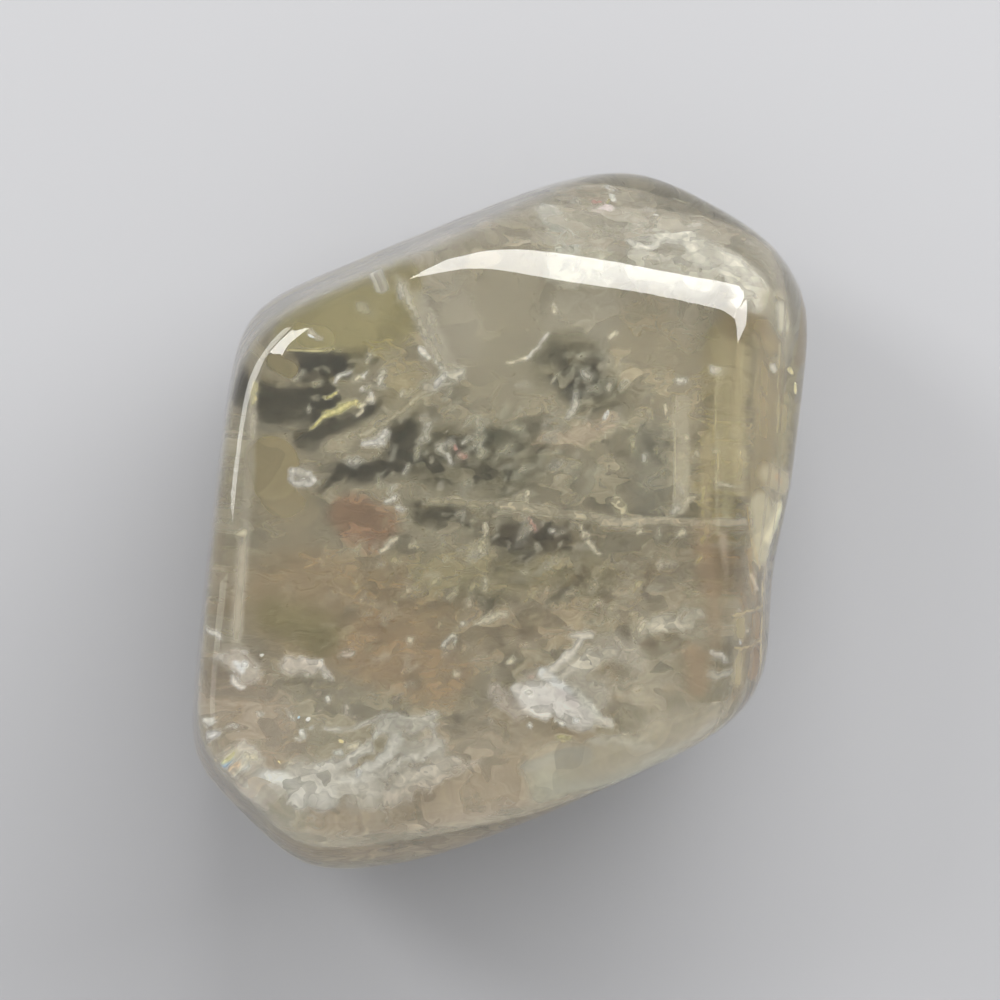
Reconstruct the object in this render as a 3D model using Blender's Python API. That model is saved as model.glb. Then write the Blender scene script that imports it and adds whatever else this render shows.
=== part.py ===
"""A polished prasiolite: one tumbled piece of pale green quartz, lying on its flat back.

Metres, +Z up. The origin is under the middle of the stone, on the surface that it rests on:
+X is its short way across, +Y its long way, and the broad front face looks up.
"""

import math

import bmesh
import bpy
import numpy as np

MM = 0.001

# Each facet: the way it faces round the stone (degrees from +X towards +Y), how far it leans
# up from there, and how far out it lies (mm) from the middle of the stone.
FACETS = {
    "front_face": (0, 90, 9.7),
    "top_shoulder": (80, 64, 14.6),
    "top_slope": (80, 39, 16.9),
    "upper_left_corner": (143, 12, 18.2),
    "upper_left_wall": (112.6, 8, 16.15),
    "top_corner": (95, 4, 19.3),
    "upper_right_wall": (60, 5, 21.4),
    "upper_right_corner": (30, 3, 21.5),
    "right_slope": (-4, 22, 15.4),
    "right_wall": (-8.5, -2, 16.4),
    "lower_right_corner": (-42, 3, 17.7),
    "lower_right_slope": (-65, 32, 17.0),
    "lower_right_wall": (-66, 0, 16.15),
    "bottom_slope": (-83.3, 22, 18.0),
    "bottom_wall": (-90, 0, 20.25),
    "lower_left_wall": (-135, 11, 21.6),
    "left_foot": (178, 5, 17.25),
    "left_wall": (172.6, 5, 16.25),
    "left_bevel": (172, 63, 14.75),
    "back_upper_left": (112, -38, 16.8),
    "back_upper_right": (62, -30, 19.7),
    "back_right": (-8, -28, 16.1),
    "back_lower_right": (-62, -34, 15.9),
    "back_bottom": (-90, -24, 19.1),
    "back_lower_left": (-133, -32, 20.0),
    "back_left": (170, -16, 16.8),
    "back_face": (0, -90, 9.7),
}
EDGE_SOFTNESS = 0.65 * MM  # how far the tumbling has blurred the creases between the facets

# The shallow hollow worn into the right wall: its middle, its reach and its depth.
HOLLOW_CENTRE = (15.4 * MM, -2.9 * MM, 0.5 * MM)
HOLLOW_REACH = 3.4 * MM
HOLLOW_DEPTH = 0.55 * MM

PATCH_CELLS = 27  # cells along each side of the six patches that carry the surface
SPREAD = (1.0, 1.1, 0.48)  # flattens the patches as the stone is flat, so that its rim is as fine
NEWTON_STEPS = 12

PALE_GREEN = (0.42, 0.45, 0.33, 1.0)
QUARTZ_IOR = 1.544


def clear_scene():
    for item in list(bpy.data.objects):
        bpy.data.objects.remove(item, do_unlink=True)


def facet_planes():
    """The outward normals of the facets, and how far each lies from the middle."""
    azimuth, lean, reach = np.array(list(FACETS.values())).T
    azimuth, lean = np.radians(azimuth), np.radians(lean)
    outward = (np.cos(lean) * np.cos(azimuth), np.cos(lean) * np.sin(azimuth), np.sin(lean))
    return np.array(outward).T, reach * MM


def tumbled_surface(directions):
    """The point of the worn surface in each direction from the middle.

    The surface is where the soft maximum of the heights over all facets is zero. Newton's method
    runs inwards to it from the sharp block that the facets enclose.
    """
    outward, reach = facet_planes()
    slopes = directions @ outward.T
    facing = np.where(slopes > 0, slopes, 1e-9)
    distance = (reach / facing).min(axis=1)
    for _ in range(NEWTON_STEPS):
        heights = (slopes * distance[:, None] - reach) / EDGE_SOFTNESS
        weights = np.exp(heights)
        total = weights.sum(axis=1)
        distance -= EDGE_SOFTNESS * np.log(total) * total / (weights * slopes).sum(axis=1)
    return directions * distance[:, None]


def press_hollow(points):
    """Wears the shallow hollow into the wall, straight towards the middle of the stone."""
    away = np.linalg.norm(points - HOLLOW_CENTRE, axis=1) / HOLLOW_REACH
    depth = HOLLOW_DEPTH * np.exp(-(away**2))
    inwards = -points / np.linalg.norm(points, axis=1)[:, None]
    return points + inwards * depth[:, None]


def settle(points):
    """Centres the stone over the origin with its flat back at zero height."""
    lowest, highest = points.min(axis=0), points.max(axis=0)
    points -= (lowest + highest) / 2
    points[:, 2] -= points[:, 2].min()
    return points


def gridded_ball():
    """A cube of evenly gridded patches: the start of the surface."""
    ball = bmesh.new()
    bmesh.ops.create_cube(ball, size=2)
    bmesh.ops.subdivide_edges(ball, edges=ball.edges[:], cuts=PATCH_CELLS - 1, use_grid_fill=True)
    return ball


def build_stone():
    ball = gridded_ball()
    cube = np.array([vertex.co for vertex in ball.verts])
    directions = np.tan(cube * math.pi / 4)
    directions /= np.linalg.norm(directions, axis=1)[:, None]
    directions *= SPREAD
    directions /= np.linalg.norm(directions, axis=1)[:, None]
    points = settle(press_hollow(tumbled_surface(directions)))
    for vertex, point in zip(ball.verts, points):
        vertex.co = point
    mesh = bpy.data.meshes.new("prasiolite")
    ball.to_mesh(mesh)
    ball.free()
    mesh.shade_smooth()
    stone = bpy.data.objects.new("prasiolite", mesh)
    bpy.context.scene.collection.objects.link(stone)
    return stone


def quartz_material():
    material = bpy.data.materials.new("prasiolite_quartz")
    material.use_nodes = True
    shader = material.node_tree.nodes["Principled BSDF"]
    shader.inputs["Base Color"].default_value = PALE_GREEN
    shader.inputs["Roughness"].default_value = 0.05
    shader.inputs["Metallic"].default_value = 0.0
    shader.inputs["IOR"].default_value = QUARTZ_IOR
    return material


def main():
    clear_scene()
    stone = build_stone()
    stone.data.materials.append(quartz_material())


main()
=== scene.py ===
"""Looks of a polished prasiolite: a clear tumbled skin with clouds, veils, cracks and glints inside.

Metres, +Z up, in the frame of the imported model: the stone lies on its flat back at z = 0, and its
broad front face looks up. Places and sizes inside the stone are millimetres from the middle of its
back, so each is multiplied by MM where it is used.
"""
import math
import random

import bmesh
import bpy
import numpy as np
from mathutils import Euler, Matrix, Vector, noise
from mathutils.bvhtree import BVHTree


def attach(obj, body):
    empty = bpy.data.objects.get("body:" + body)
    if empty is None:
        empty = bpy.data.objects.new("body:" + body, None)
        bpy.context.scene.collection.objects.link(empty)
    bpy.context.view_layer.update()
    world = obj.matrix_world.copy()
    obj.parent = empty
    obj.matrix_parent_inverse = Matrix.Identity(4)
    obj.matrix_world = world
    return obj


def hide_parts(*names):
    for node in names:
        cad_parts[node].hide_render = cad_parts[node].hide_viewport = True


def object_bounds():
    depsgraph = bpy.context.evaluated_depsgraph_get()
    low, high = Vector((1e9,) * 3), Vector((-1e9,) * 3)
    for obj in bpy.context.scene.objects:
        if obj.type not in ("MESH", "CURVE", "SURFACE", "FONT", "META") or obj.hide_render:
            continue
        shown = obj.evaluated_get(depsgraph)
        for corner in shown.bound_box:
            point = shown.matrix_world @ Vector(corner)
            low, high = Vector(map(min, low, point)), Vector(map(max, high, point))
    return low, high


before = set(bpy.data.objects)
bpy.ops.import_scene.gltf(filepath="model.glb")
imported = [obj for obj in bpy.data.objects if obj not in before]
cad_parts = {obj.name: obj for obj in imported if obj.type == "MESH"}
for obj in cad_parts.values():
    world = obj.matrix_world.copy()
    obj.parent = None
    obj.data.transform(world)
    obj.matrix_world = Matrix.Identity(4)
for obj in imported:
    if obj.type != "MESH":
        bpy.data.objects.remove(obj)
CAD_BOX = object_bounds()

MM = 0.001
STONE = "prasiolite"

MERGE_REACH = 0.01 * MM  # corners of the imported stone's loose triangles join within this

# The skin: fine enough that its soft creases carry clean reflections.
SKIN_NAME = "prasiolite_skin"
SKIN_VOXEL = 0.27 * MM
SKIN_SMOOTHING = 14

# This share of red, green and blue light comes through the stone from front to back.
CLEARNESS = (0.50, 0.50, 0.42)
THICKNESS = 19.4 * MM
ABSORPTION_DENSITY = 100.0
QUARTZ_IOR = 1.544

# How much of a white film's light comes out of the stone, in the depth and near its front, and
# how much that grows with each millimetre towards the key light.
LIT_INSIDE = (0.233, 0.258, 0.272)
LIT_IN_FRONT = (0.343, 0.359, 0.369)
LIT_TOWARDS_KEY = 0.0145
TURNED_BACK = 0.6  # the share of a film's light that the skin sends back in, to light it again
PALEST = 0.98  # no film is whiter than this

WALL_GAP = 0.35 * MM  # the clouds end this far under the skin...
RIM_SHARE = 0.5  # ...where they keep this share of their density...
RIM_FADE = 0.5 * MM  # ...and are whole this much deeper
VEIL_END = 0.6  # a veil has thinned to nothing this many wall gaps under the skin

# The films, in millimetres: how thick they are, the length of a veil's slow waves, and below
# which density nothing is left of a film.
CLOUD_FILM = 0.05
VEIL_FILM = 0.04
VEIL_WAVE = 3.0
BARE = 0.02
PALER_WHERE_DENSE = 0.16  # how much a film's shade swings with its density

# The patches within a film: the waves that bend them and how far those push, in patches, how
# many grains lie along a patch, and between which values the blend of both lies.
DRIFT_WAVE = 0.8
DRIFT_PUSH = 1.1
GRAINS_TO_PATCH = 1.6
BLEND_REACH = (0.22, 0.78)

# Waves that make a stroke's edge ragged: length in millimetres, how far it pushes, noise axis.
EDGE_WAVES = ((2.2, 0.55, (1, 0, 0)), (0.6, 0.24, (0, 1, 0)), (0.25, 0.16, (0, 0, 1)))

# Where each kind of random draw starts, and how far the slow waves shift from seed to seed.
# noise_vector starts from a place of its own in each run unless its seed is set.
EDGE_SEED = 1
CLOUD_SEED = 1
VEIL_SEED = 11
GLINT_SEED = 31
SMOOTH_VEIL_SEED = 41
HOLLOW_SEED = 61
FLECK_SEED = 81
SHARD_SEED = 5
WAVE_SHIFT = (7.3, 3.1, 5.7)
noise.seed_set(EDGE_SEED)

# Clouds, as strokes laid over one another: name, colour, density, half width, softness, path.
CLOUD_BASE = ("#96917e", 1.0)
CLOUDS = [
    # Painted reflection, in the stone's own olive tint: light that the rear upper-left facet throws back.
    ("upper olive zone, painted reflection", "#928b62", 0.95, 2.20, 1.65, [(-9.9, 9.6), (-6.0, 11.9)]),
    ("left rim", "#989583", 0.9, 0.55, 0.66, [(-11.1, 8.6), (-13.1, 3.7), (-14.2, -6.7)]),
    ("smooth dome", "#938f7d", 1.0, 2.47, 2.20, [(-1.7, 10.4), (6.6, 10.2), (10.9, 9.7)]),
    ("dome's right", "#b8b3a1", 1.05, 1.40, 1.40, [(3.6, 11.2), (9.4, 10.6)]),
    ("dome's left end", "#a09c8c", 1.0, 1.43, 0.99, [(-3.1, 11.7), (-2.3, 9.9)]),
    ("left window, upper", "#5a584c", 0.16, 0.77, 0.38, [(-10.5, 8.6), (-8.5, 8.5)]),
    ("left window, lower", "#5a584c", 0.14, 1.32, 0.49, [(-11.8, 6.3), (-10.1, 6.6)]),
    ("window tail", "#686658", 0.15, 0.49, 0.44, [(-10.8, 4.4), (-8.8, 5.3), (-6.7, 6.2)]),
    ("band across the window", "#8c8670", 0.7, 0.33, 0.33, [(-12.1, 7.5), (-10.0, 7.7)]),
    ("brown spot in the window", "#706956", 0.9, 0.49, 0.22, [(-11.3, 8.4)]),
    ("right of the window", "#968e72", 1.0, 1.10, 0.88, [(-5.2, 8.3), (-5.4, 6.6)]),
    ("dark hollow", "#5a584e", 0.16, 1.25, 0.6, [(-5.2, 4.6), (-5.0, 3.5)]),
    ("small dark hollow", "#5f5d52", 0.22, 0.66, 0.33, [(-7.9, 2.6), (-6.5, 2.9)]),
    ("sliver beside it", "#5f5d52", 0.25, 0.36, 0.3, [(-9.7, 1.9), (-8.8, 2.7)]),
    ("dim middle", "#7c7968", 0.6, 1.65, 1.37, [(-3.3, 3.3), (1.1, 3.6)]),
    ("dim spot", "#646256", 0.2, 0.49, 0.38, [(-2.6, 4.4), (-2.0, 4.0)]),
    ("dim spot lower", "#646256", 0.25, 0.33, 0.27, [(0.3, 2.8), (0.7, 2.6)]),
    ("right window", "#767464", 0.7, 1.6, 0.99, [(3.3, 8.8), (6.0, 7.3)]),
    ("right window, heart", "#58564c", 0.35, 0.7, 0.44, [(4.3, 7.8), (5.6, 7.3)]),
    ("right window, upper spot", "#69685c", 0.3, 0.49, 0.33, [(2.9, 9.2), (3.4, 8.7)]),
    ("pinkish ridge", "#b0a18e", 1.15, 0.55, 0.44, [(2.5, 4.4), (4.1, 4.6), (6.0, 5.4)]),
    ("light beside the panes", "#b2aa91", 1.0, 1.0, 0.6, [(10.7, 7.6), (10.5, 1.2)]),
    ("grey panes", "#8e8e81", 0.9, 0.99, 0.44, [(8.5, 5.0), (8.3, 1.1)]),
    ("upper right warmth", "#b0a68d", 1.0, 2.20, 1.65, [(8.2, 9.2), (10.9, 6.6)]),
    ("right light band", "#a0956f", 1.0, 0.71, 0.27, [(11.9, 9.6), (11.2, -2.1)]),
    ("right brown spot", "#938262", 1.0, 0.66, 0.27, [(12.7, 11.1), (12.5, 9.6)]),
    ("right facet", "#958862", 1.0, 1.32, 0.66, [(14.8, 7.8), (13.8, 2.9)]),
    # Painted reflection: the warm tone of a finger seen through the stone.
    ("reddish spot, painted reflection", "#8d715e", 1.1, 1.15, 0.49, [(-8.1, 0.3), (-7.0, -0.5)]),
    ("dark gap, left", "#6c695b", 0.42, 0.6, 0.44, [(-4.5, 0.3), (-2.2, 0.3)]),
    ("dark gap, right", "#645e52", 0.45, 0.82, 0.49, [(0.3, -0.8), (3.3, -1.1)]),
    # The brown field and brown heart are painted reflections of the same warm tone of fingers.
    ("brown field", "#938167", 1.0, 3.02, 2.20, [(-10.9, -4.4), (-4.4, -5.5)]),
    ("brown heart, painted reflection", "#9b8368", 1.1, 1.92, 1.65, [(-7.2, -7.1), (-3.3, -8.3)]),
    ("olive shade", "#797254", 0.9, 1.10, 0.88, [(-12.1, -5.2), (-9.9, -6.3)]),
    ("olive middle", "#9c9475", 1.0, 1.21, 0.99, [(-3.9, -3.0), (5.5, -3.2)]),
    ("pale middle", "#a5967d", 1.0, 1.5, 1.5, [(-1.2, -6.6), (3.4, -5.4)]),
    ("green shade", "#747262", 0.55, 0.44, 0.44, [(-0.8, -4.9), (-0.4, -4.4)]),
    ("slanting shade", "#747161", 0.55, 0.44, 0.44, [(3.0, -4.5), (5.0, -3.3)]),
    ("lower right", "#aba18b", 1.0, 2.47, 1.92, [(8.3, -4.9), (10.4, -3.8)]),
    ("right brown streak", "#8c775c", 1.0, 0.5, 0.5, [(10.9, -1.6), (11.8, -4.4), (12.2, -7.4)]),
    ("below the veil", "#b0a997", 1.0, 1.37, 1.10, [(6.6, -8.8), (8.7, -9.6)]),
    ("pale pink low band", "#b2a48f", 1.0, 1.37, 1.10, [(-3.3, -12.2), (3.3, -11.1)]),
    ("bottom band", "#ac9a84", 1.1, 1.21, 0.99, [(-9.0, -14.9), (-1.6, -14.6), (4.7, -12.5)]),
    ("pale lower rim", "#c0b8a6", 1.4, 0.88, 0.66, [(5.6, -14.9), (9.9, -13.2), (13.1, -10.7)]),
    ("lower left corner", "#968a7a", 1.0, 1.92, 1.65, [(-13.9, -9.4), (-12.5, -12.6)]),
    ("lower right brown", "#8b7a60", 1.0, 0.60, 0.33, [(12.3, -6.5), (12.0, -9.0)]),
    ("top facet", "#a09e8d", 1.0, 1.54, 1.10, [(3.2, 15.2), (8.2, 16.5), (12.9, 13.0)]),
]

# The cloud layers, from the front face down: height, tilt about X and Y (degrees), swell,
# length of a swell, density of the layer.
LAYERS = {
    "front_cloud": (14.3, -2.0, 2.5, 0.8, 9.0, 0.30),
    "middle_cloud": (10.6, 5.0, -4.0, 1.5, 11.0, 0.34),
    "deep_cloud": (6.0, -5.0, 5.0, 1.6, 12.0, 0.5),
}
LAYER_CELL = 0.26  # mm between the corners of a layer's mesh

# How grainy the clouds are, as strokes over an even grain: name, grain, half width, softness, path.
GRAIN_BASE = 0.85
GRAIN = [
    ("smooth dome", 0.16, 2.6, 2.0, [(-1.6, 10.6), (3.0, 10.4), (0.2, 8.2)]),
    ("dome's right", 0.4, 2.2, 2.0, [(6.5, 10.8), (11.0, 10.0)]),
    ("olive zone", 0.2, 2.0, 1.6, [(-11.2, 11.0), (-6.6, 12.8)]),
    ("brown field", 0.4, 2.8, 2.4, [(-11.5, -3.6), (-8.0, -6.6), (-4.0, -7.4)]),
    ("right facet", 0.14, 2.2, 1.4, [(14.0, 11.0), (13.8, -8.0)]),
    ("lower right", 0.5, 2.0, 2.0, [(9.0, -8.4), (11.0, -6.0)]),
    ("low band", 0.4, 2.0, 1.4, [(-3.0, -14.0), (3.2, -12.8)]),
    ("right window", 1.5, 1.2, 1.0, [(3.4, 8.6), (5.6, 7.2)]),
    ("dim middle", 1.2, 1.4, 1.4, [(-3.6, 3.6), (2.6, 3.0)]),
]

# The crisp veils, healed cracks with lace in them: middle, width and length, tilt about X and Y,
# swell, ragged edge, and strokes as in CLOUDS.
VEILS = {
    "white_veil": ((3.6, -8.6, 16.4), (10.0, 8.6), (6, 4), 0.3, 0.5, [
        ("haze", "#b4aea0", 0.35, 0.9, 0.9, [(1.6, -9.6), (3.6, -8.6), (5.2, -9.8)]),
        ("haze right", "#b2ab9a", 0.4, 0.6, 0.8, [(4.2, -7.8), (6.2, -6.8), (7.4, -7.6)]),
        ("body", "#cecbc9", 0.8, 0.72, 0.6, [(1.7, -9.7), (3.3, -10.0), (4.6, -10.6)]),
        ("left lobe", "#d4d0ca", 0.8, 0.26, 0.35, [(0.9, -9.4), (1.7, -10.4), (2.6, -10.7)]),
        ("crest", "#e8e6e2", 1.0, 0.3, 0.35, [(2.4, -8.4), (3.1, -8.9), (3.6, -9.3)]),
        ("arm", "#d8d2c4", 0.8, 0.15, 0.36, [(2.6, -8.6), (3.3, -7.7), (4.0, -7.1), (4.5, -6.4)]),
        ("arm tip", "#d2ccbc", 0.6, 0.14, 0.34, [(4.0, -6.3), (4.5, -6.2), (5.0, -6.3)]),
        ("arm's second strand", "#cac4b4", 0.7, 0.14, 0.2, [(3.4, -8.6), (4.2, -7.8), (4.9, -7.2)]),
        ("right edge", "#e2dccf", 0.85, 0.16, 0.4, [(4.0, -9.2), (4.9, -10.0), (5.5, -10.8)]),
        ("tail", "#d2ccc0", 0.7, 0.2, 0.3, [(5.5, -10.9), (6.0, -10.9)]),
        ("shade", "#a6a1a2", 0.8, 0.22, 0.35, [(3.3, -9.5), (4.0, -9.9)]),
        ("lower shade", "#aaa6a4", 0.7, 0.18, 0.3, [(2.1, -9.9), (2.9, -10.3)]),
        ("wisp", "#b8b2a0", 0.5, 0.34, 0.38, [(4.5, -8.1), (5.5, -7.4), (6.1, -7.2)]),
        ("left wisp", "#aaa094", 0.4, 0.44, 0.44, [(-0.4, -9.6), (1.1, -10.5)]),
    ]),
    "faint_veil": ((9.2, -5.6, 15.0), (6.5, 4.6), (-12, 14), 0.4, 0.8, [
        ("cloud", "#a39c88", 0.4, 0.55, 0.9, [(8.1, -6.0), (9.3, -5.2), (10.7, -6.0)]),
        ("patch", "#beb8a8", 0.55, 0.5, 0.6, [(8.8, -5.7), (9.8, -5.5)]),
        ("core", "#b8b4a4", 0.5, 0.3, 0.5, [(9.9, -5.3), (10.4, -5.0)]),
        ("streak", "#b4ae9a", 0.35, 0.2, 0.5, [(7.2, -7.0), (8.4, -6.0), (9.0, -5.2)]),
    ]),
    "arc_crack": ((-4.6, 8.2, 16.2), (10.5, 11.0), (5, 8), 0.3, 0.5, [
        ("arc", "#b4b09e", 0.5, 0.16, 0.4, [(-5.1, 12.6), (-4.9, 11.6), (-4.2, 10.2), (-2.9, 8.1)]),
        ("arc's inner side", "#a8a492", 0.3, 0.3, 0.6, [(-4.6, 12.0), (-3.6, 10.3), (-2.6, 8.4)]),
        ("knee", "#c6c4b8", 0.8, 0.16, 0.25, [(-4.4, 9.3), (-4.0, 8.9)]),
        ("foot", "#bab6a6", 0.6, 0.3, 0.5, [(-3.8, 7.4), (-3.0, 7.8), (-2.1, 8.1)]),
        ("foot spot", "#cecabc", 0.7, 0.16, 0.25, [(-3.9, 7.4), (-3.4, 7.3)]),
        ("ray", "#a39b80", 0.45, 0.36, 0.7, [(-3.7, 7.5), (-5.8, 5.9), (-8.5, 4.3)]),
        ("ray's edge", "#b4ad92", 0.5, 0.08, 0.2, [(-3.9, 7.2), (-6.0, 5.6), (-7.6, 4.7)]),
    ]),
    "long_crack": ((4.4, 0.4, 15.8), (18.5, 4.2), (6, 0), 0.1, 0.3, [
        ("left", "#a0997f", 0.45, 0.22, 0.3, [(-3.8, 1.1), (-1.6, 0.9), (1.1, 0.8)]),
        ("middle", "#aaa188", 0.7, 0.26, 0.25, [(0.0, 0.8), (3.3, 0.5), (5.5, 0.1), (7.7, -0.1)]),
        ("right", "#aca28a", 0.75, 0.2, 0.2, [(5.5, 0.05), (10.4, -0.1), (13.3, 0.0)]),
        ("bright block", "#b7ad8e", 0.6, 0.32, 0.2, [(6.4, 1.0), (6.7, 0.7)]),
        ("under edge", "#8c826c", 0.5, 0.1, 0.2, [(5.0, -0.35), (7.6, -0.6), (12.6, -0.5)]),
    ]),
    "low_veil": ((-8.6, -11.8, 16.2), (16.5, 11.0), (8, -4), 0.3, 0.7, [
        ("lace left", "#c2c2bc", 0.6, 0.5, 0.7, [(-13.0, -14.0), (-11.5, -14.6), (-9.3, -14.9)]),
        ("lace bright", "#d6d6d2", 0.7, 0.26, 0.4, [(-12.7, -13.9), (-11.4, -14.3)]),
        ("lace mid", "#bebcb2", 0.45, 0.5, 0.8, [(-11.0, -13.8), (-8.5, -14.3), (-7.4, -14.6)]),
        ("strand", "#ceccc2", 0.6, 0.26, 0.4, [(-10.0, -13.6), (-8.5, -13.2), (-7.0, -12.3)]),
        ("strand 2", "#cacac2", 0.6, 0.28, 0.4,
         [(-8.1, -14.0), (-6.8, -13.3), (-5.9, -12.5), (-5.5, -11.8)]),
        ("strand 3", "#d4d2c8", 0.65, 0.14, 0.3,
         [(-8.6, -14.3), (-6.6, -14.0), (-5.4, -13.0), (-4.4, -12.8)]),
        ("cap", "#b9b8ad", 0.5, 0.34, 0.8, [(-6.4, -11.4), (-5.2, -11.1), (-3.7, -10.9)]),
        ("cap under", "#aeaca0", 0.35, 0.5, 0.7, [(-5.5, -12.2), (-3.5, -12.3)]),
        ("cap edge", "#c2c0b4", 0.45, 0.1, 0.3,
         [(-9.6, -11.6), (-7.4, -11.2), (-5.4, -10.7), (-3.3, -10.6)]),
        ("film", "#a8a498", 0.35, 0.9, 1.0, [(-11.0, -14.0), (-7.1, -14.5), (-3.8, -13.3)]),
        ("tail", "#b2aa9a", 0.6, 0.25, 0.3, [(-5.8, -14.2), (-3.8, -13.6), (-2.5, -13.1)]),
        ("low streak", "#b4a898", 0.5, 0.16, 0.4, [(-6.6, -15.0), (-4.4, -14.4), (-1.4, -13.2)]),
        ("right edge", "#cccac0", 0.35, 0.12, 0.4, [(-3.5, -11.1), (-3.3, -12.2), (-4.0, -13.0)]),
        ("left cluster", "#b4aa9c", 0.6, 0.6, 0.8, [(-14.2, -7.6), (-13.6, -8.2)]),
        ("left cluster, core", "#e6eaf0", 0.95, 0.22, 0.3, [(-14.15, -7.8), (-13.9, -8.2)]),
        ("left cluster, foot", "#d6d0c6", 0.8, 0.2, 0.3, [(-14.3, -8.9), (-14.1, -9.1)]),
        ("second cluster", "#b8aea0", 0.6, 0.4, 0.6, [(-11.6, -7.8), (-10.4, -8.0)]),
        ("second cluster's edge", "#c8c0b4", 0.7, 0.14, 0.3,
         [(-10.9, -7.6), (-9.8, -7.9), (-9.3, -8.8)]),
        ("lower cluster", "#c8c0b0", 0.7, 0.4, 0.6, [(-13.9, -12.6), (-13.2, -13.0)]),
    ]),
    "top_veil": ((8.0, 15.2, 13.2), (13.5, 9.5), (-34, 0), 0.3, 0.6, [
        ("bluish veil", "#b2b6ac", 0.5, 0.60, 0.38, [(2.7, 16.2), (3.2, 14.9), (3.7, 13.9)]),
        ("lilac spot", "#c4b4ba", 0.7, 0.22, 0.16, [(5.2, 16.4), (5.9, 16.5)]),
        ("V left", "#c8c6b9", 0.8, 0.13, 0.24, [(6.9, 15.8), (7.6, 15.2), (8.5, 15.4)]),
        ("V bottom", "#c8c6ba", 0.8, 0.13, 0.24, [(7.1, 14.4), (8.1, 14.4), (8.9, 15.1)]),
        ("tuft", "#ccccc0", 0.85, 0.22, 0.3, [(9.2, 15.5), (10.0, 15.2), (10.8, 15.8)]),
        ("streak up", "#c4c6ba", 0.7, 0.12, 0.25, [(6.0, 18.1), (6.4, 16.9)]),
        ("streak a", "#b8b8a8", 0.6, 0.28, 0.4, [(10.4, 14.4), (11.1, 13.4)]),
        ("streak b", "#bab8aa", 0.6, 0.22, 0.35, [(12.0, 13.0), (12.5, 12.1)]),
        ("streak c", "#b6b4a4", 0.55, 0.28, 0.4, [(12.1, 13.9), (13.3, 13.0), (13.4, 12.9)]),
        ("streak d", "#bebaaa", 0.6, 0.22, 0.35, [(12.6, 11.5), (13.0, 12.2)]),
        ("film", "#acaa9a", 0.5, 0.88, 0.66, [(7.5, 13.4), (10.8, 12.7)]),
        ("corner haze", "#b8b6a6", 0.5, 0.7, 0.9, [(8.8, 15.4), (11.6, 14.0), (13.6, 12.2)]),
        ("V haze", "#b6b5a6", 0.5, 0.6, 0.8, [(7.2, 15.2), (9.6, 15.2)]),
        ("left film", "#aaa896", 0.45, 0.66, 0.55, [(3.1, 13.2), (5.8, 13.2)]),
    ]),
    "right_veil": ((12.6, 0.6, 10.2), (5.0, 6.5), (4, 20), 0.2, 0.4, [
        ("pale patch", "#bab096", 0.7, 0.44, 0.33, [(10.6, 3.1), (12.9, 1.3)]),
    ]),
}
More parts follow.
